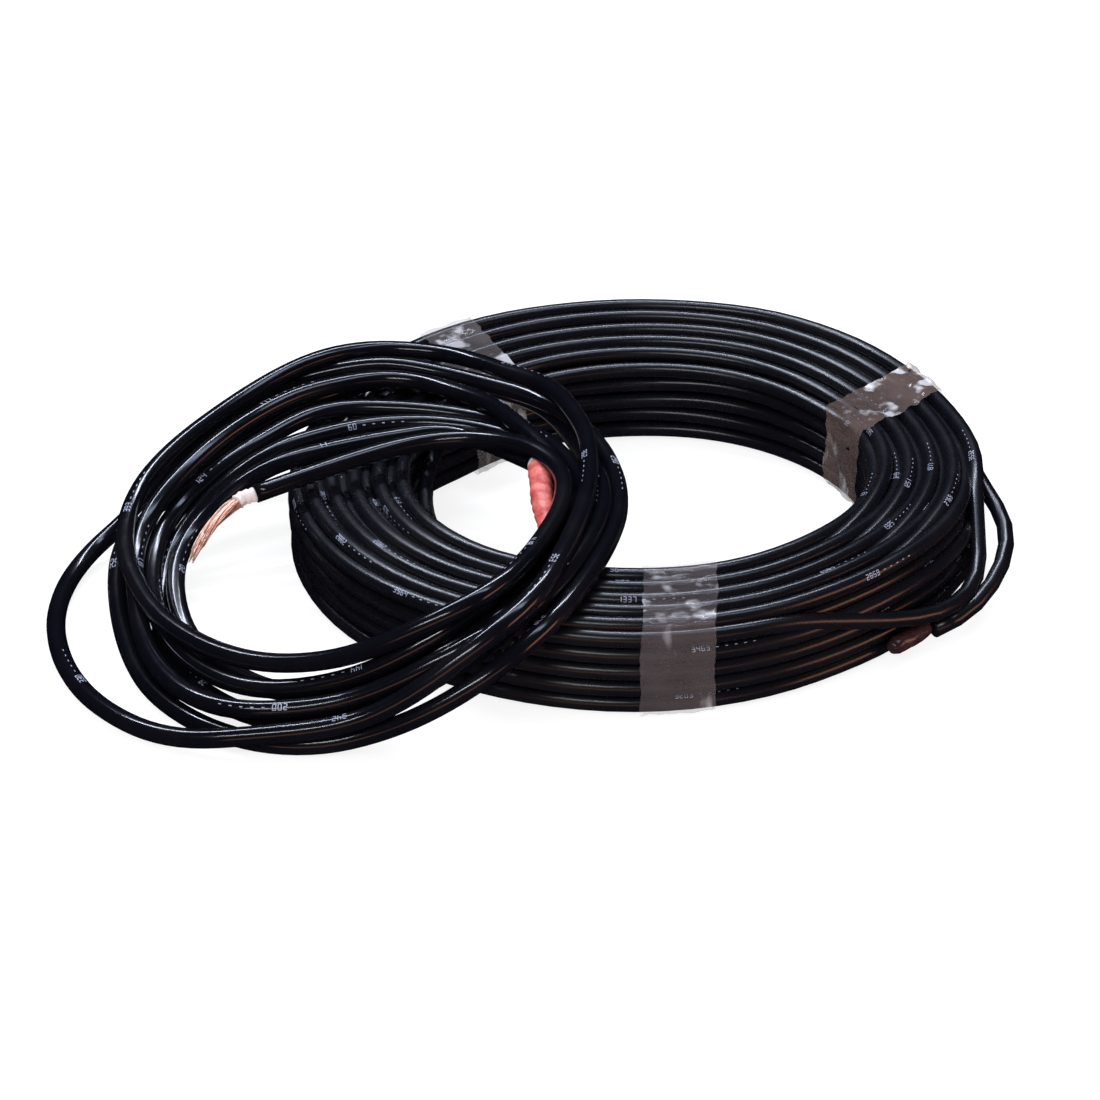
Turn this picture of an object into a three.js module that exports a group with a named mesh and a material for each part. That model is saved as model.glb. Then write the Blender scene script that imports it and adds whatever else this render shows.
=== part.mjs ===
// Underfloor heating cable kit: a heating cable wound into a flat taped coil, and its cold lead, which is
// joined to it by a splice sleeve and wound into a smaller loose coil that leans on the large one.
// Millimetres, +Z up, resting on the floor at z = 0.
import * as THREE from 'three';

// Cables
const HEATING_CABLE_D = 6.5;
const COLD_LEAD_D = 7.4;
const GAP = 0.3;

// Large coil of heating cable
const COIL_OUTER_R = 142.5;
const COIL_LAYERS = 10;
const COIL_ROWS = 5;
const LAYER_PITCH = 5.22;
const ROW_PITCH = 7;
const BORE_SHIFT = [1.5, -7];
const COIL_SEGMENTS = 56;

// Clear tapes round the large coil, each with its angle at the bore and at the outer edge
const TAPE_THICKNESS = 0.5;
const TAPE_WIDTH = 28;
const TAPE_CORNER_R = 3;
const TAPE_ANGLES = { front: [-81, -84], right: [23, 28], left: [134, 127] };

// Small coil of cold lead: the bearing of its middle from the large coil's axis, and how far inside the large
// coil's outer edge that middle lies. Its outer and inner edges are [x, y, height] from that middle, from the
// right side round by the back. Height 0 is on the floor and height 1 is on top of the large coil.
const SMALL_COIL_BEARING = 207;
const SMALL_COIL_INSET = 21.3;
const SMALL_COIL_OUTER = [
  [102.5, -3, 1], [78, 76, 1], [46, 105, 1], [10, 129, 1], [-34, 128, 1], [-74, 95, 0.68], [-98, 55, 0.45],
  [-103.5, 10, 0.24], [-95, -39, 0.08], [-75, -82, 0], [-39, -112, 0], [4, -116, 0.04], [53, -111, 0.72],
  [83, -81, 1],
];
const SMALL_COIL_INNER = [
  [75, -1, 1], [60, 37, 1], [38, 46, 1], [13, 45, 1], [-14, 35, 1], [-43, 25, 0.94], [-65, 14, 0.48],
  [-72, -5, 0.24], [-65, -31, 0.08], [-50, -50, 0.05], [-23, -66, 0.18], [5, -79, 0.54], [36, -82, 0.97],
  [58, -60, 1],
];
const SMALL_COIL_THICKNESS = [16, 15, 13, 12, 13, 16, 20, 22, 23, 23, 22, 22, 20, 18];
const SMALL_COIL_TURNS_ACROSS = 4;
const SMALL_COIL_SEGMENTS = 56;

// Loose outer turn of the cold lead, [x, y, z] from the middle of the small coil, between its two seats
const COLD_LOOP = [
  [-113, 22, 12], [-118.5, 10, 7.5], [-121, -9, 4.6], [-120.5, -24, 4.2], [-117.5, -39, 4.2],
  [-112.6, -53.4, 4.2], [-106, -67.7, 4.2], [-97, -81.6, 4.2], [-82, -97, 4.2], [-64, -109, 4.2],
];
const COLD_LOOP_SEATS = [0.475, 0.70];

// Loose turns of the heating cable at the right side, [angle, stand-off from the coil's outer edge, z], between
// seats on the coil given as [angle, z]
const LARGE_LOOP = [[-11.3, 6.6, 23], [-16.8, 10.5, 20], [-20.8, 12.2, 17], [-25.6, 13, 14], [-30, 11.9, 10],
  [-34.6, 8.8, 6.5]];
const LARGE_LOOP_SEATS = { from: [-4, 28], to: [-40, 3.6] };
const SMALL_LOOP = [[-19, 3.9, 22], [-22.8, 6.1, 18.5], [-27, 6.2, 15.5]];
const SMALL_LOOP_SEATS = { from: [-14, 31], to: [-34, 13] };

// End seal of the heating cable
const END_SEAL_D = 7.4;
const END_SEAL_LENGTH = 18;

// Splice between the heating cable and the cold lead, and where the heating cable goes down to the bore from it
const SLEEVE_D = 9;
const SLEEVE_SPAN = [0.056, -0.026];
const LEAD_IN_HEIGHTS = [33.5, 29, 24];
const LEAD_IN_STEP = 1;

// Stripped end of the cold lead
const TAIL_SPAN = [0.212, 0.352];
const CORE_INSULATION_D = 5.6;
const CORE_INSULATION_LENGTH = 9;
const STRANDS_D = 4.4;
const STRANDS_TIP = [-65.6, -17.9, 26];

const coilBoreR = COIL_OUTER_R - HEATING_CABLE_D - (COIL_LAYERS - 1) * LAYER_PITCH;
const coilBase = TAPE_THICKNESS + GAP;
const rowRise = ROW_PITCH / 2;
const coilTop = coilBase + HEATING_CABLE_D + (COIL_ROWS - 1) * ROW_PITCH + rowRise;
const restHeight = coilTop + GAP;
const cableSides = 10;
const stepsPerDiameter = 0.4;

const assembly = new THREE.Group();

function material(color, roughness, metalness = 0, opacity = 1) {
  return new THREE.MeshStandardMaterial({ color, roughness, metalness, opacity, transparent: opacity < 1 });
}

function add(name, geometry, look) {
  const mesh = new THREE.Mesh(geometry, look);
  mesh.name = name;
  assembly.add(mesh);
}

const radians = THREE.MathUtils.degToRad;
const vectors = (points) => points.map((p) => new THREE.Vector3(...p));
const smallCoilMiddle = new THREE.Vector3(
  (COIL_OUTER_R - SMALL_COIL_INSET) * Math.cos(radians(SMALL_COIL_BEARING)),
  (COIL_OUTER_R - SMALL_COIL_INSET) * Math.sin(radians(SMALL_COIL_BEARING)),
  0,
);
const fromSmallCoil = (points) => vectors(points).map((p) => p.add(smallCoilMiddle));

// A point of the large coil: the bore lies a little off the centre of the outer edge, so each layer is shifted
// by its share of that offset
function coilPoint(angle, r, z) {
  const share = THREE.MathUtils.clamp((COIL_OUTER_R - r) / (COIL_OUTER_R - coilBoreR), 0, 1.2);
  return new THREE.Vector3(
    r * Math.cos(angle) + BORE_SHIFT[0] * share,
    r * Math.sin(angle) + BORE_SHIFT[1] * share,
    z,
  );
}

// A round cable along a smooth curve
function cable(points, diameter, sides = cableSides) {
  const path = new THREE.CatmullRomCurve3(points, false, 'centripetal');
  const section = new THREE.Shape(
    Array.from({ length: sides }, (_, i) => {
      const a = (2 * Math.PI * i) / sides;
      return new THREE.Vector2((diameter / 2) * Math.cos(a), (diameter / 2) * Math.sin(a));
    }),
  );
  const steps = Math.max(4, Math.round((path.getLength() / diameter) * stepsPerDiameter));
  return new THREE.ExtrudeGeometry(section, { steps, extrudePath: path, bevelEnabled: false });
}

// Section of the large coil: layers of stacked turns, each second layer half a row higher. Every turn on the
// top and on both flanks shows as a rounded ridge.
function coilSection() {
  const radius = HEATING_CABLE_D / 2;
  const crest = radius * 0.45;
  const valley = radius * 0.75;
  const layerR = (i) => coilBoreR + radius + i * LAYER_PITCH;
  const rowZ = (j) => coilBase + radius + j * ROW_PITCH;
  const last = COIL_LAYERS - 1;
  const points = [];
  const put = (r, z) => points.push(new THREE.Vector2(r, z));
  put(layerR(0), coilBase);
  put(layerR(last), coilBase);
  for (let j = 0; j < COIL_ROWS; j++) {
    put(layerR(last) + radius, rowZ(j) - crest);
    put(layerR(last) + radius, rowZ(j) + crest);
    if (j < COIL_ROWS - 1) put(layerR(last) + valley, rowZ(j) + ROW_PITCH / 2);
  }
  for (let i = last; i >= 0; i--) {
    const lift = (last - i) % 2 ? rowRise : 0;
    const z = rowZ(COIL_ROWS - 1) + lift + radius;
    put(layerR(i) + crest, z);
    put(layerR(i) - crest, z);
    if (i > 0) put(layerR(i) - LAYER_PITCH / 2, rowZ(COIL_ROWS - 1) + rowRise / 2 + valley);
  }
  for (let j = COIL_ROWS - 1; j >= 0; j--) {
    put(layerR(0) - radius, rowZ(j) + crest);
    put(layerR(0) - radius, rowZ(j) - crest);
    if (j > 0) put(layerR(0) - valley, rowZ(j) - ROW_PITCH / 2);
  }
  points.push(points[0].clone());
  return points;
}

function heatingCoil() {
  const ring = new THREE.LatheGeometry(coilSection(), COIL_SEGMENTS);
  ring.rotateX(Math.PI / 2);
  const at = ring.attributes.position;
  for (let i = 0; i < at.count; i++) {
    const [x, y, z] = [at.getX(i), at.getY(i), at.getZ(i)];
    const p = coilPoint(Math.atan2(y, x), Math.hypot(x, y), z);
    at.setXYZ(i, p.x, p.y, p.z);
  }
  return ring;
}

// A tape is a thin band that goes once round the section of the coil and follows its curve
function tape([boreAngle, outerAngle]) {
  const loop = (r0, z0, r1, z1, corner) => {
    const s = new THREE.Path();
    s.moveTo(r0 + corner, z0);
    s.lineTo(r1 - corner, z0);
    s.quadraticCurveTo(r1, z0, r1, z0 + corner);
    s.lineTo(r1, z1 - corner);
    s.quadraticCurveTo(r1, z1, r1 - corner, z1);
    s.lineTo(r0 + corner, z1);
    s.quadraticCurveTo(r0, z1, r0, z1 - corner);
    s.lineTo(r0, z0 + corner);
    s.quadraticCurveTo(r0, z0, r0 + corner, z0);
    return s.getPoints(3);
  };
  const room = GAP + TAPE_THICKNESS;
  const inside = TAPE_CORNER_R - TAPE_THICKNESS;
  const shape = new THREE.Shape(
    loop(coilBoreR - room, 0, COIL_OUTER_R + room, coilTop + room, TAPE_CORNER_R),
  );
  shape.holes.push(new THREE.Path(
    loop(coilBoreR - GAP, TAPE_THICKNESS, COIL_OUTER_R + GAP, coilTop + GAP, inside).reverse(),
  ));
  const band = new THREE.ExtrudeGeometry(shape, { depth: 1, steps: 4, bevelEnabled: false });
  const at = band.attributes.position;
  for (let i = 0; i < at.count; i++) {
    const r = at.getX(i);
    const share = (r - coilBoreR) / (COIL_OUTER_R - coilBoreR);
    const centre = radians(THREE.MathUtils.lerp(boreAngle, outerAngle, share));
    const p = coilPoint(centre + (TAPE_WIDTH * (0.5 - at.getZ(i))) / r, r, at.getY(i));
    at.setXYZ(i, p.x, p.y, p.z);
  }
  return band;
}

// Edges of the small coil as closed curves with the same parameter, 0 at the right side
const closedCurve = (points) => new THREE.CatmullRomCurve3(points, true, 'catmullrom', 0.5);
const outerEdge = closedCurve(fromSmallCoil(SMALL_COIL_OUTER));
const innerEdge = closedCurve(fromSmallCoil(SMALL_COIL_INNER));
const thickness = closedCurve(vectors(SMALL_COIL_THICKNESS.map((t) => [t, 0, 0])));

function smallCoilPoint(t, across, up) {
  const p = innerEdge.getPoint(t).lerp(outerEdge.getPoint(t), across);
  const onLargeCoil = Math.hypot(p.x, p.y) < COIL_OUTER_R + HEATING_CABLE_D;
  p.z = Math.max(p.z, onLargeCoil ? 1 : 0) * restHeight + up * thickness.getPoint(t).x;
  return p;
}

// The small coil is a turned ring whose section is carried round between those two edges
function coldCoil() {
  const boreR = 1;
  const bevel = 0.14;
  const groove = 0.14;
  const profile = [[bevel, 0], [1 - bevel, 0], [1, 0.3], [1, 0.7]];
  for (let k = SMALL_COIL_TURNS_ACROSS - 1; k >= 0; k--) {
    const middle = (k + 0.5) / SMALL_COIL_TURNS_ACROSS;
    const half = 0.25 / SMALL_COIL_TURNS_ACROSS;
    profile.push([middle + half, 1], [middle - half, 1]);
    if (k > 0) profile.push([k / SMALL_COIL_TURNS_ACROSS, 1 - groove]);
  }
  profile.push([0, 0.7], [0, 0.3], [bevel, 0]);
  const ring = new THREE.LatheGeometry(
    profile.map(([u, w]) => new THREE.Vector2(boreR + u, w)),
    SMALL_COIL_SEGMENTS,
  );
  ring.rotateX(Math.PI / 2);
  const at = ring.attributes.position;
  for (let i = 0; i < at.count; i++) {
    const [x, y] = [at.getX(i), at.getY(i)];
    const t = (Math.atan2(y, x) / (2 * Math.PI) + 1) % 1;
    const p = smallCoilPoint(t, Math.hypot(x, y) - boreR, at.getZ(i));
    at.setXYZ(i, p.x, p.y, p.z);
  }
  return ring;
}

// Seat of a cable against the outer edge, or with side -1 the inner edge, of the small coil
function smallCoilSeat(t, side, diameter) {
  const edge = side > 0 ? outerEdge : innerEdge;
  const along = edge.getTangent(t);
  const out = new THREE.Vector3(along.y, -along.x, 0).normalize().multiplyScalar(side);
  const p = smallCoilPoint(t, side > 0 ? 1 : 0, 0.5);
  p.addScaledVector(out, diameter / 2 + GAP);
  p.z = Math.max(p.z, diameter / 2);
  return p;
}

// Centre line of a cable that stands off from the outer edge of the large coil, and one that is seated on it
const besideLargeCoil = ([angle, standOff, z]) => coilPoint(radians(angle), COIL_OUTER_R + standOff, z);
const largeCoilSeat = ([angle, z]) => besideLargeCoil([angle, HEATING_CABLE_D / 2 + GAP, z]);

const heatingLook = () => material(0x14141a, 0.38);
const coldLook = () => material(0x0e0e15, 0.24);
const tapeLook = () => material(0x8a7d78, 0.3, 0, 0.5);

add('heating_coil', heatingCoil(), heatingLook());
for (const [side, angle] of Object.entries(TAPE_ANGLES)) add(`tape_${side}`, tape(angle), tapeLook());
add('cold_lead_coil', coldCoil(), coldLook());

const coldLoopPoints = [
  smallCoilSeat(COLD_LOOP_SEATS[0], 1, COLD_LEAD_D),
  ...fromSmallCoil(COLD_LOOP),
  smallCoilSeat(COLD_LOOP_SEATS[1], 1, COLD_LEAD_D),
];
add('cold_lead_loop', cable(coldLoopPoints, COLD_LEAD_D), coldLook());

const largeLoopEnd = largeCoilSeat(LARGE_LOOP_SEATS.to);
const largeLoopPoints = [
  largeCoilSeat(LARGE_LOOP_SEATS.from),
  ...LARGE_LOOP.map(besideLargeCoil),
  largeLoopEnd,
];
add('heating_loop_large', cable(largeLoopPoints, HEATING_CABLE_D), heatingLook());
const smallLoopPoints = [
  largeCoilSeat(SMALL_LOOP_SEATS.from),
  ...SMALL_LOOP.map(besideLargeCoil),
  largeCoilSeat(SMALL_LOOP_SEATS.to),
];
add('heating_loop_small', cable(smallLoopPoints, HEATING_CABLE_D), heatingLook());

// The end seal carries on from the large loose turn, along the foot of the coil
const sealAngles = [0, 0.5, 1].map((s) => {
  const start = radians(LARGE_LOOP_SEATS.to[0]) - (5 * GAP) / COIL_OUTER_R;
  return start - (s * END_SEAL_LENGTH) / COIL_OUTER_R;
});
const sealR = COIL_OUTER_R + END_SEAL_D / 2 + GAP;
add(
  'end_seal',
  cable(sealAngles.map((a) => coilPoint(a, sealR, END_SEAL_D / 2)), END_SEAL_D),
  material(0x3a2328, 0.25),
);

// The splice sleeve lies along the inner edge of the small coil, and the heating cable goes down from it to the
// bore of the large coil
const alongInnerEdge = ([from, to], count, diameter) => Array.from({ length: count }, (_, i) => {
  const t = THREE.MathUtils.lerp(from, to, i / (count - 1));
  return smallCoilSeat((t + 1) % 1, -1, diameter);
});
const sleevePoints = alongInnerEdge(SLEEVE_SPAN, 5, SLEEVE_D);
add('splice_sleeve', cable(sleevePoints, SLEEVE_D, 12), material(0xd9665f, 0.55));
const sleeveEnd = sleevePoints.at(-1);
const sleeveWay = sleeveEnd.clone().sub(sleevePoints.at(-2)).normalize();
const leadInAngle = THREE.MathUtils.radToDeg(Math.atan2(sleeveEnd.y, sleeveEnd.x));
const leadInPoints = [
  sleeveEnd.clone().addScaledVector(sleeveWay, GAP),
  sleeveEnd.clone().addScaledVector(sleeveWay, HEATING_CABLE_D / 2),
  ...LEAD_IN_HEIGHTS.map((z, i) => coilPoint(
    radians(leadInAngle + i * LEAD_IN_STEP),
    coilBoreR - HEATING_CABLE_D / 2 - GAP * 2,
    z,
  )),
];
add('heating_lead_in', cable(leadInPoints, HEATING_CABLE_D), heatingLook());

// Last stretch of the cold lead, along the inner edge of the small coil, then its stripped core
const tailPoints = alongInnerEdge(TAIL_SPAN, 7, COLD_LEAD_D);
add('cold_lead_tail', cable(tailPoints, COLD_LEAD_D), coldLook());

function rod(from, direction, length, startD, endD) {
  const profile = [[0, 0], [startD / 2, 0], [endD / 2, length], [0, length]];
  const body = new THREE.LatheGeometry(profile.map(([r, z]) => new THREE.Vector2(r, z)), 12);
  body.applyQuaternion(new THREE.Quaternion().setFromUnitVectors(new THREE.Vector3(0, 1, 0), direction));
  return body.translate(from.x, from.y, from.z);
}

const strandsTip = fromSmallCoil([STRANDS_TIP])[0];
const tailEnd = tailPoints.at(-1);
const tailWay = tailEnd.clone().sub(tailPoints.at(-2)).normalize();
const coreStart = tailEnd.clone().addScaledVector(tailWay, GAP);
const coreWay = tailWay.clone().lerp(strandsTip.clone().sub(coreStart).normalize(), 0.6).normalize();
add(
  'core_insulation',
  rod(coreStart.clone().addScaledVector(tailWay, 1), coreWay, CORE_INSULATION_LENGTH, CORE_INSULATION_D, STRANDS_D),
  material(0xd8cfc8, 0.5),
);
const strandsStart = coreStart.clone().addScaledVector(tailWay, 1)
  .addScaledVector(coreWay, CORE_INSULATION_LENGTH + 3 * GAP);
const strandsRun = strandsTip.clone().sub(strandsStart);
add(
  'conductor_strands',
  rod(strandsStart, strandsRun.clone().normalize(), strandsRun.length(), STRANDS_D, STRANDS_D * 0.4),
  material(0xc98a6a, 0.35, 1),
);

// The frame's origin is the middle of the whole kit's footprint, on the floor
const bounds = new THREE.Box3().setFromObject(assembly);
const middle = bounds.getCenter(new THREE.Vector3());
assembly.position.set(-middle.x, -middle.y, -bounds.min.z);

export default assembly;
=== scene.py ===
"""Underfloor heating cable kit: the visible cables, tapes, splice sleeve and stripped end.

Shapes are worked out in millimetres from the axis of the large coil, and put into the row frame in metres.
"""

import math

import bpy
import numpy as np
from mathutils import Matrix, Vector, noise


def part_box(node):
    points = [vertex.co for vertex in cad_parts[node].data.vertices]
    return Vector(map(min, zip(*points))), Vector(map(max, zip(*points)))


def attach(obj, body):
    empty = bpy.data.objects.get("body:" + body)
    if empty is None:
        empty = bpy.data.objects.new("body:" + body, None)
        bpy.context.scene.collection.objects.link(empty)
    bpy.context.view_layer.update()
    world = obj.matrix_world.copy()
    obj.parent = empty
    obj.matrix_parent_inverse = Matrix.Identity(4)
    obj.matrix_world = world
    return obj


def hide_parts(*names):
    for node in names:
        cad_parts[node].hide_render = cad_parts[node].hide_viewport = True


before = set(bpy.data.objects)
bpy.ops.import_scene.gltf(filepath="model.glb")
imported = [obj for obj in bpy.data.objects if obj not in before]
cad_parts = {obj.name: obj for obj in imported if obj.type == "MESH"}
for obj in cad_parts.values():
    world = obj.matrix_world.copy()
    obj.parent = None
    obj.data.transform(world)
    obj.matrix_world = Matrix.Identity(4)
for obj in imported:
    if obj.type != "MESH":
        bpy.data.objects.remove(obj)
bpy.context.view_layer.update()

# Large coil
HEATING_D = 6.5
OUTER_R = 142.5
LAYERS = 10
ROWS = 5
LAYER_PITCH = 5.22
ROW_PITCH = 7.0
BORE_SHIFT = np.array([1.5, -7.0])
BORE_R = OUTER_R - HEATING_D - (LAYERS - 1) * LAYER_PITCH
BASE = 0.8
COIL_TOP = BASE + HEATING_D + (ROWS - 1) * ROW_PITCH + ROW_PITCH / 2
# Angle of each tape at the bore and at the outer edge
TAPE_ANGLES = {"front": (-81, -84), "right": (21, 28), "left": (134, 127)}
TAPE_WIDTH = 28.0
# Angle, and how far the outer edge, the bore and the top give way there
BULGE = [
    [0, -2.4, 3, 0], [15, -4, 4, 0], [30, -3, 2, 0], [45, -0.8, 0.3, 1.2], [65, 1, -1.2, 2.8],
    [90, 1, -2, 2.8], [120, 0.6, -1.5, 1.6], [150, 0, 0, 0], [175, 0.4, 4, 0], [195, 0.9, 7, 0],
    [215, 1, 7, 0], [235, 0.5, 5, 0], [255, 0.2, 2.5, 0], [270, 0, 1, 0], [290, -2, 1, 0],
    [305, -4, 1, 0], [325, -3.4, 1, 0], [345, -2, 1.6, 0], [360, -2.4, 3, 0],
]

# Where the turns shift by half a row, at the left side and at the right side
LEFT_SHIFT = 165
RIGHT_SHIFT = -28
SHIFT_HALF_WIDTH = 22

# Small coil
COLD_D = 7.4
REST_HEIGHT = COIL_TOP + 0.3
SMALL_COIL_BEARING = 207
SMALL_COIL_INSET = 21.3
SMALL_COIL_OUTER = [
    [102.5, -3, 1], [78, 76, 1], [46, 105, 1], [10, 129, 1], [-34, 128, 1], [-74, 95, 0.68],
    [-98, 55, 0.45], [-103.5, 10, 0.24], [-95, -39, 0.08], [-75, -82, 0], [-39, -112, 0],
    [4, -116, 0.04], [53, -111, 0.72], [83, -81, 1],
]
SMALL_COIL_INNER = [
    [75, -1, 1], [60, 37, 1], [38, 46, 1], [13, 45, 1], [-14, 35, 1], [-43, 25, 0.94],
    [-65, 14, 0.48], [-72, -5, 0.24], [-65, -31, 0.08], [-50, -50, 0.05], [-23, -66, 0.18],
    [5, -79, 0.54], [36, -82, 0.97], [58, -60, 1],
]
SMALL_COIL_THICKNESS = [16, 15, 13, 12, 13, 16, 20, 22, 23, 23, 22, 22, 20, 18]

# Loose turns: of the cold lead as points from the middle of the small coil, and of the heating cable as
# angle, radius and height
COLD_LOOP = [
    [-99, 40, 14], [-107, 36, 10], [-113.5, 28, 6.5], [-118.5, 15, 4.8], [-121, 0, 4.2], [-121.2, -14, 4.2],
    [-120, -27, 4.2], [-117, -40, 4.2], [-112.6, -53.4, 4.2], [-106, -67.7, 4.2], [-97, -81.6, 4.2],
    [-82, -97, 4.2], [-66, -107, 4.2], [-50, -112, 6],
]
LARGE_LOOP = [
    [10, 139.25, 28.55], [2, 140.2, 27.4], [-3, 142.6, 25.8], [-7.5, 146.2, 24], [-12, 150.5, 22.4],
    [-16.8, 154, 20.4], [-20.8, 155.4, 17.6], [-25.6, 155.2, 14.6], [-30, 154, 11], [-34.6, 151.2, 8.6],
    [-38.5, 148.2, 8], [-41, 146.3, 8.4],
]
SMALL_LOOP = [
    [-2, 139.25, 35.5], [-7, 139.5, 33.6], [-11, 140.4, 30], [-15, 142, 25.6], [-19, 144.7, 20.8],
    [-24.5, 148, 16.5], [-30, 149.4, 14], [-36, 148.8, 14.2], [-44, 146, 17.4], [-52, 143, 22.5],
    [-60, 140.4, 28], [-67, 139.25, 32.05],
]

# Splice, stripped end and end seal
SLEEVE_LINE = [[68.5, 19, 48.5], [69.5, 8, 48], [70.2, -3, 47.5], [71.5, -14, 46.5], [73, -25, 45.5]]
COLD_START = [[68, 22, 48], [65.5, 28, 46.5], [60, 36, 44.5]]
TAIL = [
    [64, 26, 52], [52, 36.5, 50], [38, 41.5, 48.5], [24, 42, 48], [8, 36, 47.5], [-7.4, 27.5, 47],
    [-26.4, 16.9, 45], [-43.5, 9.1, 42],
]
STRANDS = [[-48.2, 7.7, 41], [-53.6, 2.3, 39], [-59.1, -5.2, 36], [-62.9, -14.1, 33], [-65.7, -23.7, 30]]

scene = bpy.context.scene
coil_low, coil_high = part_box("heating_coil")
AXIS = np.array([(coil_low.x + coil_high.x) / 2, (coil_low.y + coil_high.y) / 2, 0.0])


def row(points):
    """Points in millimetres from the large coil's axis, as metres in the row frame."""
    return np.asarray(points, float) / 1000 + AXIS


def smoothstep(x):
    x = np.clip(x, 0, 1)
    return x * x * (3 - 2 * x)


def catmull(points, t, closed=False):
    """Uniform Catmull-Rom curve through the points, with t from 0 to 1."""
    p = np.asarray(points, float)
    n = len(p)
    s = np.asarray(t, float) * (n if closed else n - 1)
    i = np.floor(s).astype(int)
    if not closed:
        i = np.clip(i, 0, n - 2)
    w = (s - i)[:, None]
    a, b, c, d = [p[(i + k) % n if closed else np.clip(i + k, 0, n - 1)] for k in (-1, 0, 1, 2)]
    m0, m1 = (c - a) / 2, (d - b) / 2
    return b + m0 * w + (3 * (c - b) - 2 * m0 - m1) * w**2 + (2 * (b - c) + m0 + m1) * w**3


def respace(points, step):
    """The same line with its points a step apart."""
    p = np.asarray(points, float)
    length = np.r_[0, np.cumsum(np.linalg.norm(np.diff(p, axis=0), axis=1))]
    count = max(4, int(round(length[-1] / step)))
    at = np.linspace(0, length[-1], count + 1)
    return np.column_stack([np.interp(at, length, p[:, k]) for k in range(3)])


def line_length(points):
    return float(np.linalg.norm(np.diff(points, axis=0), axis=1).sum())


def soften(points, rounds):
    """Takes the small corners out of a line and keeps its ends."""
    p = np.array(points, float)
    for _ in range(rounds):
        p[1:-1] = p[1:-1] * 0.5 + (p[:-2] + p[2:]) * 0.25
    return p


def waves(x, rates, sizes, seed):
    """Sum of sines of x with seeded phases."""
    phases = np.random.default_rng(seed).uniform(0, 2 * math.pi, len(rates))
    return sum(s * np.sin(f * x + p) for f, s, p in zip(rates, sizes, phases))


def place(angle, r, z):
    """Points of the large coil. Its bore is off centre, so each layer is shifted by a share of that. It is
    not quite round, and BULGE says how far it gives way."""
    angle, r, z = np.broadcast_arrays(np.asarray(angle, float), r, z)
    bulge = np.array(BULGE, float)
    edge, bore, top = [np.interp(angle % 360, bulge[:, 0], bulge[:, k]) for k in (1, 2, 3)]
    out = np.clip((r - BORE_R) / (OUTER_R - BORE_R), 0, 1)
    loose = smoothstep((r - OUTER_R) / 6)
    r = r + (edge * out + bore * (1 - out)) * (1 - loose)
    z = z + top * np.clip(z / COIL_TOP, 0, 1)
    angle = np.radians(angle)
    share = np.clip((OUTER_R - r) / (OUTER_R - BORE_R), 0, 1.2)
    x = r * np.cos(angle) + BORE_SHIFT[0] * share
    y = r * np.sin(angle) + BORE_SHIFT[1] * share
    return np.column_stack([x, y, z])


# Camera
camera_data = bpy.data.cameras.new("camera")
camera_data.sensor_width = 36
camera_data.lens = 95.07
camera_data.shift_x = -0.0805
camera_data.shift_y = -0.0535
camera = bpy.data.objects.new("camera", camera_data)
camera.location = AXIS + np.array([0, -1.052, 0.5946])
camera.rotation_euler = (math.radians(90 - 28.72), 0, 0)
scene.collection.objects.link(camera)
scene.camera = camera


# Node materials
class Look:
    """A node material with a few short cuts."""

    def __init__(self, name):
        self.material = bpy.data.materials.new(name)
        self.material.use_nodes = True
        self.nodes = self.material.node_tree.nodes
        self.links = self.material.node_tree.links
        self.shader = next(n for n in self.nodes if n.type == "BSDF_PRINCIPLED")

    def set(self, **values):
        for name, value in values.items():
            self.shader.inputs[name.replace("_", " ")].default_value = value

    def link(self, out, name):
        self.links.new(out, self.shader.inputs[name])

    def math(self, operation, *values):
        made = self.nodes.new("ShaderNodeMath")
        made.operation = operation
        for k, value in enumerate(values):
            if isinstance(value, (int, float)):
                made.inputs[k].default_value = value
            else:
                self.links.new(value, made.inputs[k])
        return made.outputs[0]

    def mix(self, share, first, second):
        """Blend of two colours by a socket."""
        made = self.nodes.new("ShaderNodeMix")
        made.data_type = "RGBA"
        self.links.new(share, made.inputs[0])
        made.inputs[6].default_value = first
        made.inputs[7].default_value = second
        return made.outputs[2]

    def fog(self, scale, detail, stretch=None):
        """Noise value in object space."""
        source = self.nodes.new("ShaderNodeTexCoord").outputs["Object"]
        if stretch:
            mapping = self.nodes.new("ShaderNodeMapping")
            mapping.inputs["Scale"].default_value = stretch
            self.links.new(source, mapping.inputs["Vector"])
            source = mapping.outputs["Vector"]
        made = self.nodes.new("ShaderNodeTexNoise")
        made.inputs["Scale"].default_value = scale
        made.inputs["Detail"].default_value = detail
        self.links.new(source, made.inputs["Vector"])
        return made.outputs[0]

    def ramp(self, value, low, high, a=0.0, b=1.0):
        made = self.nodes.new("ShaderNodeMapRange")
        made.inputs["From Min"].default_value = low
        made.inputs["From Max"].default_value = high
        made.inputs["To Min"].default_value = a
        made.inputs["To Max"].default_value = b
        self.links.new(value, made.inputs["Value"])
        return made.outputs[0]

    def bump(self, height, strength, distance):
        made = self.nodes.new("ShaderNodeBump")
        made.inputs["Strength"].default_value = strength
        made.inputs["Distance"].default_value = distance
        self.links.new(height, made.inputs["Height"])
        self.links.new(made.outputs["Normal"], self.shader.inputs["Normal"])


def jacket_look(name, color, roughness):
    """Black cable jacket with faint scuffs."""
    look = Look(name)
    scuff = look.ramp(look.fog(28, 4), 0.45, 0.75)
    dust = look.ramp(look.fog(420, 2), 0.5, 0.8)
    look.link(look.mix(look.math("MULTIPLY", scuff, 0.35), color, (0.012, 0.010, 0.012, 1)), "Base Color")
    dusty = look.math("ADD", look.math("MULTIPLY", dust, 0.04), roughness)
    look.link(look.math("ADD", look.math("MULTIPLY", scuff, 0.06), dusty), "Roughness")
    look.bump(look.fog(60, 2), 0.1, 0.0005)
    return look.material


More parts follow.
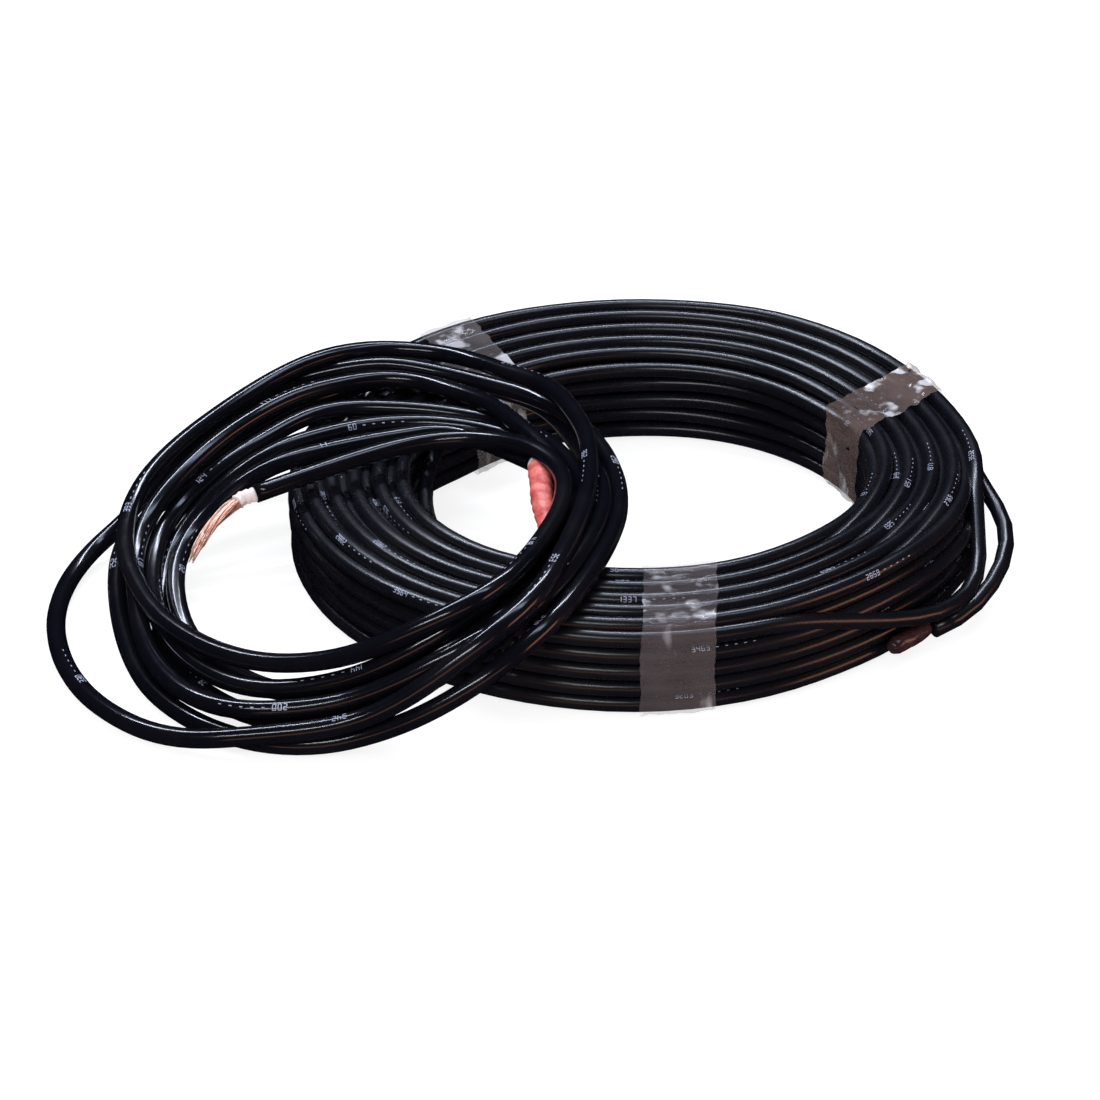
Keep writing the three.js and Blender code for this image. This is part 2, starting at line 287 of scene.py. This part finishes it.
def mottled_look(name, fog, span, dark, light, bump=None, **values):
    """Two colours mixed by noise of a scale and detail. Bump is scale, detail, strength and distance."""
    look = Look(name)
    look.link(look.mix(look.ramp(look.fog(*fog), *span), dark, light), "Base Color")
    look.set(**values)
    if bump:
        scale, detail, strength, distance = bump
        look.bump(look.fog(scale, detail), strength, distance)
    return look.material


heating_look = jacket_look("heating_jacket", (0.004, 0.004, 0.007, 1), 0.25)
cold_look = jacket_look("cold_jacket", (0.003, 0.003, 0.0055, 1), 0.13)


def build(name, vertices, faces, material, uv=None, smooth=True):
    """A mesh in the row frame from points in millimetres."""
    mesh = bpy.data.meshes.new(name)
    mesh.from_pydata(row(vertices).tolist(), [], [tuple(f) for f in faces])
    if smooth:
        mesh.polygons.foreach_set("use_smooth", [True] * len(mesh.polygons))
    if uv is not None:
        layer = mesh.uv_layers.new(name="along")
        corners = np.zeros(len(mesh.loops), int)
        mesh.loops.foreach_get("vertex_index", corners)
        layer.data.foreach_set("uv", np.asarray(uv, float)[corners].astype(np.float32).ravel())
    mesh.materials.append(material)
    mesh.update()
    made = bpy.data.objects.new(name, mesh)
    scene.collection.objects.link(made)
    return made


def directions(points):
    """Along, sideways and upwards unit vectors at each point of a line."""
    along = np.gradient(points, axis=0)
    along /= np.linalg.norm(along, axis=1)[:, None]
    side = np.cross(along, [0, 0, 1.0])
    weak = np.linalg.norm(side, axis=1) < 0.15
    for k in np.flatnonzero(weak):
        side[k] = side[k - 1] if k else [1, 0, 0]
    side /= np.linalg.norm(side, axis=1)[:, None]
    up = np.cross(side, along)
    return along, side, up


def tube_parts(points, radius, sides, start=0):
    """Vertices, faces and along-round coordinates of a closed tube. The radius is a number or one for each
    ring and side."""
    p = np.asarray(points, float)
    _, side, up = directions(p)
    turn = np.linspace(0, 2 * math.pi, sides, endpoint=False)
    radius = np.asarray(radius, float)
    if radius.ndim == 1:
        radius = radius[:, None]
    radius = np.broadcast_to(radius, (len(p), sides))
    ring = up[:, None, :] * np.cos(turn)[:, None] + side[:, None, :] * np.sin(turn)[:, None]
    vertices = (p[:, None, :] + ring * radius[:, :, None]).reshape(-1, 3)
    i = np.arange(len(p) - 1)[:, None]
    j = np.arange(sides)[None, :]
    k = (j + 1) % sides
    here, ahead = i * sides + start, (i + 1) * sides + start
    quads = np.stack([here + j, ahead + j, ahead + k, here + k], -1)
    last = (len(p) - 1) * sides
    faces = [list(f) for f in quads.reshape(-1, 4)]
    faces.append([start + s for s in range(sides)])
    faces.append([start + last + s for s in reversed(range(sides))])
    length = np.r_[0, np.cumsum(np.linalg.norm(np.diff(p, axis=0), axis=1))] / 1000
    around = np.arange(sides) / sides
    uv = np.stack(np.broadcast_arrays(length[:, None], around), -1).reshape(-1, 2)
    return vertices, faces, uv


def tube(name, points, radius, sides, material):
    vertices, faces, uv = tube_parts(points, radius, sides)
    return build(name, vertices, faces, material, uv)


# Edges of the small coil, as closed curves with the same parameter, 0 at the right side
small_middle = (OUTER_R - SMALL_COIL_INSET) * np.array(
    [math.cos(math.radians(SMALL_COIL_BEARING)), math.sin(math.radians(SMALL_COIL_BEARING)), 0]
)


def from_small_coil(points):
    return np.asarray(points, float) + small_middle


def small_coil_point(t, across, up):
    """Point of the small coil's section, as in the solid that it replaces."""
    t = np.atleast_1d(np.asarray(t, float)) % 1
    inner = catmull(from_small_coil(SMALL_COIL_INNER), t, closed=True)
    outer = catmull(from_small_coil(SMALL_COIL_OUTER), t, closed=True)
    thick = catmull([[v, 0, 0] for v in SMALL_COIL_THICKNESS], t, closed=True)[:, 0]
    p = inner + (outer - inner) * np.asarray(across)[..., None]
    on_coil = np.hypot(p[:, 0], p[:, 1]) < OUTER_R + HEATING_D
    p[:, 2] = np.maximum(p[:, 2], np.where(on_coil, 1, 0)) * REST_HEIGHT + np.asarray(up) * thick
    return p


def lane(t, share, level):
    """Centre of a cable in the small coil: share 0 along the inner edge and 1 along the outer edge, level 0
    in the lower and 1 in the upper layer."""
    inner = small_coil_point(t, 0.0, 0.0)
    outer = small_coil_point(t, 1.0, 0.0)
    width = np.linalg.norm((outer - inner)[:, :2], axis=1)
    across = (COLD_D / 2 + np.asarray(share) * (width - COLD_D)) / width
    foot = small_coil_point(t, across, 0.0)
    top = small_coil_point(t, across, 1.0)
    rise = top[:, 2] - foot[:, 2] - COLD_D
    foot[:, 2] += COLD_D / 2 + np.asarray(level) * rise
    return foot


# Course of the cold lead round the small coil: turns made, share across, level
COLD_COURSE = [
    [0.16, 0.2, 0.0], [0.23, 0.1, 0.0], [0.36, 0.05, 0.0], [0.5, 0.0, 0.3], [0.62, 0.08, 0.0],
    [0.74, 0.35, 0.0], [1.0, 0.3, 0.0], [1.12, 0.3, 0.0], [1.25, 0.26, 0.0], [1.36, 0.2, 0.0],
    [1.5, 0.25, 0.0], [1.62, 0.52, 0.0], [1.74, 0.72, 0.0], [1.84, 0.7, 0.0], [2.0, 0.5, 0.1],
    [2.12, 0.45, 0.1], [2.22, 0.42, 0.1], [2.28, 0.47, 0.1], [2.36, 0.36, 0.1], [2.5, 0.38, 0.3],
    [2.62, 0.5, 0.5], [2.7, 0.56, 0.5], [2.78, 0.46, 0.5], [3.0, 0.0, 0.3], [3.08, 0.12, 1.0],
    [3.14, 0.55, 1.0], [3.22, 0.67, 1.0], [3.3, 0.57, 1.0], [3.42, 0.42, 1.0], [3.5, 0.6, 0.6],
    [3.68, 0.92, 0.5], [3.76, 0.75, 0.5], [4.0, 0.77, 0.5], [4.1, 1.1, 0.0], [4.2, 0.85, 0.0],
    [4.3, 0.6, 0.0], [4.4, 0.58, 0.0], [4.5, 1.0, 0.0], [4.66, 1.0, 0.0], [4.78, 1.02, 0.0],
    [4.84, 1.14, 0.0], [4.9, 1.1, 0.2], [5.0, 0.98, 0.2], [5.1, 0.95, 0.3], [5.22, 0.8, 0.1],
    [5.36, 0.95, 0.0], [5.45, 1.05, 0.0], [5.72, 1.06, 0.5], [5.8, 1.03, 0.5], [5.88, 0.9, 0.8],
    [6.0, 0.5, 1.0], [6.05, 0.95, 1.0], [6.1, 1.05, 1.0], [6.16, 1.12, 1.0], [6.22, 1.0, 1.0],
    [6.29, 0.83, 1.0], [6.4, 0.77, 1.0], [6.52, 0.82, 1.0], [6.58, 0.6, 1.0], [6.64, 0.44, 1.0],
    [6.76, 0.4, 1.0], [6.87, 0.4, 1.0], [6.95, 0.2, 1.0], [7.02, 0.0, 1.0],
]
# Turns between which the loose turn takes the place of the course
LOOP_SPAN = [5.42, 5.745]
STEPS_PER_TURN = 42


def cold_course():
    turns = np.arange(COLD_COURSE[0][0], COLD_COURSE[-1][0], 1 / STEPS_PER_TURN)
    keys = np.array(COLD_COURSE)
    spot = np.clip(np.searchsorted(keys[:, 0], turns, side="right") - 1, 0, len(keys) - 2)
    w = smoothstep((turns - keys[spot, 0]) / (keys[spot + 1, 0] - keys[spot, 0]))[:, None]
    values = keys[spot, 1:] * (1 - w) + keys[spot + 1, 1:] * w
    points = lane(turns, values[:, 0], values[:, 1])
    before = points[turns < LOOP_SPAN[0]]
    after = points[turns > LOOP_SPAN[1]]
    loose = from_small_coil(COLD_LOOP)
    return np.vstack([from_small_coil(COLD_START), before, loose, after, from_small_coil(TAIL)])


def smooth_line(points, step):
    """A fine smooth line through control points."""
    p = np.asarray(points, float)
    t = np.linspace(0, 1, len(p) * 12)
    return respace(soften(respace(catmull(p, t), step), 3), step)


def push_from_coil(p, radius):
    """Moves points of a line out of the body of the large coil and off the floor."""
    r = np.hypot(p[:, 0], p[:, 1])
    bore_r = np.hypot(p[:, 0] - BORE_SHIFT[0], p[:, 1] - BORE_SHIFT[1])
    corner = 3.0
    out = r - (OUTER_R - corner)
    inn = (BORE_R + corner) - bore_r
    beside = np.maximum(np.maximum(out, inn), 0)
    above = np.maximum(p[:, 2] - (COIL_TOP - corner), 0)
    gap = np.hypot(beside, above) - corner
    deep = (gap < radius) & (beside < corner + radius) & (p[:, 2] > 0)
    need = radius - gap
    norm = np.maximum(np.hypot(beside, above), 1e-6)
    flat = np.where(out > inn, 1.0, -1.0)[:, None] * p[:, :2] / np.maximum(r, 1e-6)[:, None]
    share_up = np.where(norm > 0.01, above / norm, 1.0)
    share_flat = np.where(norm > 0.01, beside / norm, 0.0)
    p[deep, 2] += (need * share_up)[deep]
    p[deep, :2] += (need * share_flat)[deep, None] * flat[deep]
    p[:, 2] = np.maximum(p[:, 2], radius + 0.1)
    return p


def settle(points, diameter, rounds):
    """Parts the turns of one cable that lie in each other, and keeps its run smooth and its ends in place.
    The last rounds part them without smoothing."""
    held_points, unsmoothed = 6, 6
    home = np.array(points, float)
    count = len(home)
    shift = np.zeros_like(home)
    step = line_length(home) / (count - 1)
    apart = int(math.ceil(2.2 * diameter / step))
    index = np.arange(count)
    far = np.abs(index[:, None] - index[None, :]) > apart
    hold = np.clip(np.minimum(index, count - 1 - index) / held_points, 0, 1)[:, None]
    for k in range(rounds):
        p = home + shift
        gap = p[:, None, :] - p[None, :, :]
        distance = np.linalg.norm(gap, axis=2) + 1e-9
        over = np.where(far & (distance < diameter), diameter - distance, 0)
        push = (gap / distance[:, :, None] * over[:, :, None]).sum(1)
        push *= 0.45 / np.maximum((over > 0).sum(1), 1)[:, None] ** 0.5
        p = push_from_coil(p + push * hold, diameter / 2)
        shift = (p - home) * hold
        if k < rounds - unsmoothed:
            shift[1:-1] = shift[1:-1] * 0.6 + (shift[:-2] + shift[2:]) * 0.2
    return home + shift


cold_line = settle(smooth_line(cold_course(), 6.0), COLD_D, 160)
cold_line = respace(soften(cold_line, 2), 5.0)


def half_turns():
    """Layer and height of each half turn of the heating cable, by turns at the back and at the front of the
    bundle. Layers lie alternately low and half a row higher, the outermost one low at the front and high at
    the back, and the cable fills them up and down by turns. The top turn of the outermost layer comes before
    the one below it, whose end is the large loose turn."""
    low = [BASE + HEATING_D / 2 + j * ROW_PITCH for j in range(ROWS)]
    high = [z + ROW_PITCH / 2 for z in low]
    seats = []
    for i in range(LAYERS - 1):
        upwards = i % 2
        for j in range(ROWS) if upwards else reversed(range(ROWS)):
            seats += [(i, high[j]), (i, low[j])] if upwards else [(i, low[j]), (i, high[j])]
    last = LAYERS - 1
    seats[-1] = (last, low[0])
    for j in range(ROWS - 2):
        seats += [(last, high[j]), (last, low[j + 1])]
    return seats + [(last, high[-1]), (last, low[-1]), (last, high[-2])]


def along_keys(keys, angle, turn):
    """Radius and height along keys of angle, radius and height, with the angles lowered by whole turns."""
    keys = np.array(keys, float)
    at = angle + 360 * turn
    t = np.interp(-at, -keys[:, 0], np.linspace(0, 1, len(keys)))
    return catmull(keys[:, 1:], t)


sleeve_line = from_small_coil(SLEEVE_LINE)
sleeve_end = sleeve_line[-1]

# Way of the heating cable from the sleeve down the bore: angle past the sleeve's end, distance from the
# bore's wall and height
DIVE = [[2.5, 5.5, 41.5], [0.5, 4.8, 35.5], [-3.5, 4.2, 29.0], [-9, 3.9, 24.0], [-16, 3.9, 21.8]]
DIVE_POINTS = 60
LEAD_IN_ANGLE = 218.0
LEAD_IN_HEIGHT = 21.0


def heating_course():
    """Line of the heating cable, from the sleeve to the end seal. Its turns wander a little, less so near a
    tape."""
    seats = [(BORE_R + HEATING_D / 2 + i * LAYER_PITCH, z) for i, z in half_turns()]
    turns = len(seats) // 2
    lead_in = (BORE_R - HEATING_D / 2 - 0.6, LEAD_IN_HEIGHT)
    angle = np.arange(LEAD_IN_ANGLE, LARGE_LOOP[-1][0] - 360.0 * turns, -360 / (2 * STEPS_PER_TURN))
    r = np.full(len(angle), lead_in[0])
    z = np.full(len(angle), lead_in[1])
    before = lead_in
    for n, now in enumerate(seats):
        centre = (RIGHT_SHIFT if n % 2 else LEFT_SHIFT) - 360 * (n // 2)
        w = smoothstep((centre + SHIFT_HALF_WIDTH - angle) / (2 * SHIFT_HALF_WIDTH))
        r += (now[0] - before[0]) * w
        z += (now[1] - before[1]) * w
        before = now
    tapes = [np.abs((angle - sum(a) / 2 + 180) % 360 - 180) for a in TAPE_ANGLES.values()]
    tape = np.min(tapes, axis=0)
    loose = 0.35 + 0.65 * smoothstep((tape - 8) / 22)
    a = np.radians(angle)
    r += loose * waves(a, [1.37, 2.61, 4.23, 6.7], [0.3, 0.3, 0.22, 0.12], 3)
    z += loose * waves(a, [1.71, 2.93, 5.1, 7.3], [0.22, 0.26, 0.2, 0.1], 5)
    common = waves(a, [2, 3, 5], [0.5, 0.4, 0.25], 8)
    r += loose * common
    z = np.clip(z, BASE + HEATING_D / 2, COIL_TOP - HEATING_D / 2 + 0.2)
    for keys, turn in ((SMALL_LOOP, turns - 1), (LARGE_LOOP, turns)):
        inside = (angle <= keys[0][0] - 360 * turn) & (angle >= keys[-1][0] - 360 * turn)
        values = along_keys(keys, angle[inside], turn)
        r[inside], z[inside] = values[:, 0], values[:, 1]
    main = place(angle, r, z)
    bearing = math.degrees(math.atan2(sleeve_end[1], sleeve_end[0])) % 360
    dive = [place([bearing + past], BORE_R - inward, height)[0] for past, inward, height in DIVE]
    start = sleeve_end - (sleeve_line[-2] - sleeve_end) * 0.1
    lead = catmull([start, *dive, *main[:2]], np.linspace(0, 1, 60))
    return np.vstack([respace(lead, 5.0), main[2:]])


# The dive is rounded more than the turns
heating_line = soften(heating_course(), 1)
heating_line = np.vstack([soften(heating_line[:DIVE_POINTS], 16), heating_line[DIVE_POINTS:]])

heating = tube("heating_cable", heating_line, HEATING_D / 2, 14, heating_look)
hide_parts("heating_coil", "heating_loop_large", "heating_loop_small", "heating_lead_in")
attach(heating, "root")
cold = tube("cold_lead", cold_line, COLD_D / 2, 18, cold_look)
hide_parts("cold_lead_coil", "cold_lead_loop", "cold_lead_tail")
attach(cold, "root")


# Plain length marks printed along the cables, each digit of straight strokes on the round of the jacket
SEGMENTS = {
    "0": "abcdef", "1": "bc", "2": "abged", "3": "abgcd", "4": "fgbc", "5": "afgcd", "6": "afgedc",
    "7": "abc", "8": "abcdefg", "9": "abcdfg", "-": "g",
}
STROKES = {
    "a": (0, 1, 1, 1), "b": (1, 0.5, 1, 1), "c": (1, 0, 1, 0.5), "d": (0, 0, 1, 0), "e": (0, 0, 0, 0.5),
    "f": (0, 0.5, 0, 1), "g": (0, 0.5, 1, 0.5),
}


def printed(name, points, radius, spots, height, material):
    """Marks on a cable. A spot is the distance along the line, the turn round the jacket and the text."""
    length = np.r_[0, np.cumsum(np.linalg.norm(np.diff(points, axis=0), axis=1))]
    _, side, up = directions(points)
    wide, pen, gap = height * 0.52, height * 0.15, height * 0.9
    lift = 0.035
    vertices, faces = [], []

    def on_jacket(x, around):
        line = np.array([np.interp(x, length, points[:, k]) for k in range(3)])
        across = np.array([np.interp(x, length, side[:, k]) for k in range(3)])
        above = np.array([np.interp(x, length, up[:, k]) for k in range(3)])
        out = above * math.cos(around) + across * math.sin(around)
        return line + out / np.linalg.norm(out) * (radius + lift)

    for begin, around, text in spots:
        for k, sign in enumerate(text):
            for stroke in SEGMENTS.get(sign, ""):
                x0, y0, x1, y1 = STROKES[stroke]
                flat = y0 == y1
                steps = 2 if flat else 3
                for n in range(steps + 1):
                    w = n / steps
                    x = (x0 + (x1 - x0) * w) * wide
                    y = (y0 + (y1 - y0) * w - 0.5) * height
                    dx, dy = (0, pen / 2) if flat else (pen / 2, 0)
                    for one in (-1, 1):
                        at = begin - (k * gap + x + one * dx)
                        vertices.append(on_jacket(at, around + (y + one * dy) / radius))
                    if n:
                        base = len(vertices) - 4
                        faces.append([base, base + 1, base + 3, base + 2])
    made = build(name, np.array(vertices), faces, material)
    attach(made, "root")


ink_look = mottled_look(
    "ink", (260, 3), (0.35, 0.65), (0.2, 0.22, 0.3, 1), (0.36, 0.39, 0.5, 1), Roughness=0.55
)


def label_spots(points, first, spacing, turn, seed, shown):
    """Places of the length marks along a line, in centimetres, left out where they can't be seen."""
    rng = np.random.default_rng(seed)
    length = np.r_[0, np.cumsum(np.linalg.norm(np.diff(points, axis=0), axis=1))]
    spots = []
    at = first
    last = length[-1] - 120
    while at < last:
        around, text = rng.uniform(*turn), f"{round(at / 10)} - - - - -"
        if shown(*[np.interp(at - 20, length, points[:, k]) for k in range(3)]):
            spots.append((at, around, text))
        at += rng.uniform(*spacing)
    return spots


def on_surface(x, y, z):
    """Whether a point of the heating cable is at the outside of the coil, on the side of the camera."""
    return y < 60 and (z > COIL_TOP - HEATING_D - 1.5 or math.hypot(x, y) > OUTER_R - HEATING_D - 1)


def anywhere(x, y, z):
    return True


spots = label_spots(heating_line, 260, (60, 130), (-1.3, 1.3), 21, on_surface)
printed("heating_marks", heating_line, HEATING_D / 2, spots, 2.0, ink_look)
spots = label_spots(cold_line, 110, (70, 150), (-1.0, 1.0), 22, anywhere)
printed("cold_marks", cold_line, COLD_D / 2, spots, 2.3, ink_look)


# Blender's noise starts from the clock unless it has a seed
noise.seed_set(7)


def crumpled(vertices, size, scale, seed):
    """Moves points by smooth seeded noise."""
    out = np.array(vertices, float)
    for k, p in enumerate(out):
        at = Vector(p / scale) + Vector((seed, seed * 1.7, seed * 0.3))
        out[k] = p + np.array(noise.noise_vector(at)) * size
    return out


# Clear tapes
def film_look(name, color, haze, creases):
    """Thin clear film: mostly see-through, with a milky veil and bumped creases, and streaks of painted
    glint that make it whiter and more opaque.
    """
    look = Look(name)
    veil = look.ramp(look.fog(32, 2), 0.35, 0.7, haze * 0.7, haze * 1.3)
    # Painted glint: streaky noise whitens the film's colour and adds opacity, standing in for glints on its
    # creases
    painted_glint = look.ramp(look.fog(90, 2, (1, 1, 0.35)), 0.56, 0.66)
    look.link(look.math("ADD", veil, look.math("MULTIPLY", painted_glint, 0.22)), "Alpha")
    look.link(look.mix(painted_glint, color, (0.75, 0.74, 0.78, 1)), "Base Color")
    look.set(Roughness=0.16)
    look.bump(look.fog(70, 2), creases, 0.0012)
    return look.material


film = {
    "front": film_look("film_front", (0.3, 0.25, 0.26, 1), 0.17, 0.9),
    "right": film_look("film_right", (0.2, 0.14, 0.125, 1), 0.42, 1.0),
    "left": film_look("film_left", (0.2, 0.18, 0.18, 1), 0.3, 0.7),
}


def section_outline(count):
    """Outline of the bundle's section, as radius and height: a rectangle with rounded corners."""
    r0, r1, z1, corner = BORE_R - 1.3, OUTER_R + 1.2, COIL_TOP + 0.9, 3.5
    corners = [
        (r1 - corner, corner, -90), (r1 - corner, z1 - corner, 0),
        (r0 + corner, z1 - corner, 90), (r0 + corner, corner, 180),
    ]
    points = []
    for cr, cz, begin in corners:
        for a in np.radians(np.linspace(begin, begin + 90, 7)):
            points.append([cr + corner * math.cos(a), cz + corner * math.sin(a), 0])
    points.append(points[0])
    fine = respace(points, line_length(np.array(points)) / count)
    return fine[:, :2]


def tape(side, crumple):
    """A band of film round the bundle, with wavy edges, drawn in between the layers and crumpled."""
    inner, outer = TAPE_ANGLES[side]
    outline = section_outline(130)
    across = np.linspace(-0.5, 0.5, 19)
    rng = np.random.default_rng(sum(map(ord, side)))
    skew = rng.uniform(-2, 2)
    grid = []
    for s, (r, z) in zip(np.linspace(0, 1, len(outline)), outline):
        edge = 1 + 0.02 * math.sin(17 * s + skew) + 0.012 * math.sin(41 * s)
        angle = inner + (outer - inner) * (r - BORE_R) / (OUTER_R - BORE_R)
        span = math.degrees(TAPE_WIDTH / r)
        pinch = 0.6 * math.sin(math.pi * (r - BORE_R) / LAYER_PITCH) if z > COIL_TOP else 0.0
        grid.append(place(angle + span * across * edge, r, z + min(pinch, 0.0)))
    moved = crumpled(np.vstack(grid), crumple, 7.0, rng.uniform(0, 50))
    moved = crumpled(moved, crumple * 0.5, 2.6, rng.uniform(0, 50))
    moved[:, 2] = np.maximum(moved[:, 2], 0.05)
    wide = len(across)
    faces = []
    for n in range(len(outline) - 1):
        for m in range(wide - 1):
            a = n * wide + m
            faces.append([a, a + 1, a + wide + 1, a + wide])
    made = build(f"{side}_tape", moved, faces, film[side])
    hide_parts(f"tape_{side}")
    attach(made, "root")


for side, crumple in (("front", 0.9), ("right", 1.3), ("left", 0.9)):
    tape(side, crumple)

# Splice sleeve: shrunk and wrinkled, with a pale ring at its upper end that is a painted highlight on its
# cut edge
sleeve_look = mottled_look(
    "sleeve", (160, 4), (0.3, 0.7), (0.42, 0.035, 0.03, 1), (0.78, 0.2, 0.17, 1),
    bump=(420, 4, 0.5, 0.0008), Roughness=0.42,
)
ROUND = 24
line = respace(catmull(sleeve_line, np.linspace(0, 1, 80)), 1.0)
s = np.linspace(0, 1, len(line))[:, None]
turn = np.linspace(0, 2 * math.pi, ROUND, endpoint=False)
wrinkle = 0.22 * np.sin(s * 46 + 1.5 * np.sin(turn)) + 0.16 * np.sin(5 * turn + 9 * s)
shape = np.interp(s, [0, 0.06, 0.5, 0.8, 1], [4.3, 4.55, 4.45, 4.0, 3.5])
sleeve = tube("sleeve", line, shape + wrinkle, ROUND, sleeve_look)
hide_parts("splice_sleeve")
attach(sleeve, "root")

pale_look = mottled_look(
    "pale_plastic", (300, 3), (0.3, 0.7), (0.62, 0.52, 0.5, 1), (0.82, 0.78, 0.76, 1),
    bump=(500, 3, 0.4, 0.0005), Roughness=0.5,
)
way = line[0] - line[3]
way /= np.linalg.norm(way)
# Painted highlight: a ring of pale plastic at the sleeve's upper end stands in for the glint on its cut edge
highlight_rim_line = [line[0] + way * reach for reach in (-0.5, 0.8, 2.2, 3.2)]
highlight_rim = tube("sleeve_highlight_rim", highlight_rim_line, np.array([4.35, 4.5, 4.4, 4.1]), ROUND, pale_look)
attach(highlight_rim, "root")

# Stripped end: pale insulation, and a bundle of fine copper wires that spreads towards its tip
strand_run = from_small_coil(STRANDS)
tail_way = cold_line[-1] - cold_line[-3]
tail_way /= np.linalg.norm(tail_way)
cold_end = cold_line[-1]
core_points = catmull(
    [
        cold_end - tail_way * 2,
        cold_end + tail_way * 1.5,
        strand_run[0],
        strand_run[0] * 0.6 + strand_run[1] * 0.4,
    ],
    np.linspace(0, 1, 14),
)
ripple = 2.9 + 0.25 * np.sin(np.linspace(0, 29, len(core_points)))
core = tube("core", core_points, ripple, 16, pale_look)
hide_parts("core_insulation")
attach(core, "root")

copper_look = mottled_look(
    "copper", (240, 3), (0.3, 0.7), (0.6, 0.27, 0.18, 1), (0.97, 0.66, 0.52, 1),
    Roughness=0.42, Metallic=0.75,
)
WIRES = 64
WIRE_R = 0.26
WIRE_STEPS = 22
rng = np.random.default_rng(11)
parts_v, parts_f, parts_uv, used = [], [], [], 0
run = np.vstack([core_points[-3:-1], strand_run[1:]])
for _ in range(WIRES):
    reach = rng.uniform(0.62, 1.0)
    lay = rng.uniform(0, 2 * math.pi)
    spread = rng.uniform(0.3, 1.0)
    s = np.linspace(0, reach, WIRE_STEPS)
    centre = catmull(run, s)
    _, side_way, up_way = directions(centre)
    wide = np.interp(s, [0, 0.15, 0.4, 1.0], [2.0, 3.0, 2.8, 1.9]) * spread
    twist = lay + s * 2.4
    wave = 0.25 * np.sin(s * rng.uniform(8, 16) + rng.uniform(0, 6))
    sideways = (np.cos(twist) * wide + wave)[:, None]
    upwards = (np.sin(twist) * wide * 0.75)[:, None]
    v, f, uv = tube_parts(centre + side_way * sideways + up_way * upwards, WIRE_R, 5, used)
    parts_v.append(v)
    parts_f += f
    parts_uv.append(uv)
    used += len(v)
strands = build("strands", np.vstack(parts_v), parts_f, copper_look, np.vstack(parts_uv))
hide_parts("conductor_strands")
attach(strands, "root")

# End seal: a shrunk, wrapped end at the foot of the coil
seal_look = mottled_look(
    "seal", (120, 3), (0.35, 0.7), (0.012, 0.007, 0.009, 1), (0.045, 0.018, 0.02, 1),
    bump=(300, 3, 0.5, 0.0008), Roughness=0.2,
)
angles = np.linspace(LARGE_LOOP[-1][0] + 1.2, LARGE_LOOP[-1][0] - 7.2, 30)
seal_line = place(angles, OUTER_R + 3.3, 8.6)
s = np.linspace(0, 1, len(angles))[:, None]
turn = np.linspace(0, 2 * math.pi, 20, endpoint=False)
body = np.interp(s, [0, 0.08, 0.5, 0.85, 0.96, 1], [3.3, 3.6, 3.7, 3.4, 2.6, 1.4])
seal = tube("seal", seal_line, body + 0.12 * np.sin(4 * turn + 14 * s), 20, seal_look)
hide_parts("end_seal")
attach(seal, "root")

# Floor and light
floor_mesh = bpy.data.meshes.new("floor")
floor_mesh.from_pydata([(-6, -6, 0), (6, -6, 0), (6, 6, 0), (-6, 6, 0)], [], [(0, 1, 2, 3)])
floor_look = Look("floor")
floor_look.set(Base_Color=(0.25, 0.25, 0.25, 1), Roughness=0.8)
floor_look.set(Emission_Color=(1, 1, 1, 1), Emission_Strength=0.85)
floor_mesh.materials.append(floor_look.material)
floor = bpy.data.objects.new("floor", floor_mesh)
scene.collection.objects.link(floor)
floor.visible_glossy = False

world = bpy.data.worlds.new("world")
world.use_nodes = True
world.node_tree.nodes["Background"].inputs[0].default_value = (1, 1, 1, 1)
world.node_tree.nodes["Background"].inputs[1].default_value = 0.8
scene.world = world
world.cycles_visibility.glossy = False


def softbox(name, location, target, size, power, color):
    data = bpy.data.lights.new(name, "AREA")
    data.shape = "RECTANGLE"
    data.size, data.size_y = size
    data.energy = power
    data.color = color
    made = bpy.data.objects.new(name, data)
    made.location = location
    made.rotation_euler = (Vector(target) - Vector(location)).to_track_quat("-Z", "Y").to_euler()
    scene.collection.objects.link(made)


softbox("window", (-0.25, 0.75, 1.25), (0, 0, 0), (1.5, 0.07), 20, (0.78, 0.84, 1))
softbox("sky", (0.1, 0.2, 1.6), (0, 0, 0), (1.6, 0.2), 7, (0.66, 0.76, 1))
softbox("front", (-0.5, -1.1, 1.1), (0, 0, 0), (0.9, 0.05), 6, (0.9, 0.94, 1))
softbox("warm", (1.4, -0.5, 0.25), (0.1, 0, 0), (0.9, 0.4), 4.0, (1, 0.45, 0.28))
softbox("ground", (0.1, -1.3, 0.1), (0, 0, 0.03), (1.6, 0.25), 1.6, (1, 0.5, 0.34))

scene.view_settings.view_transform = "Standard"
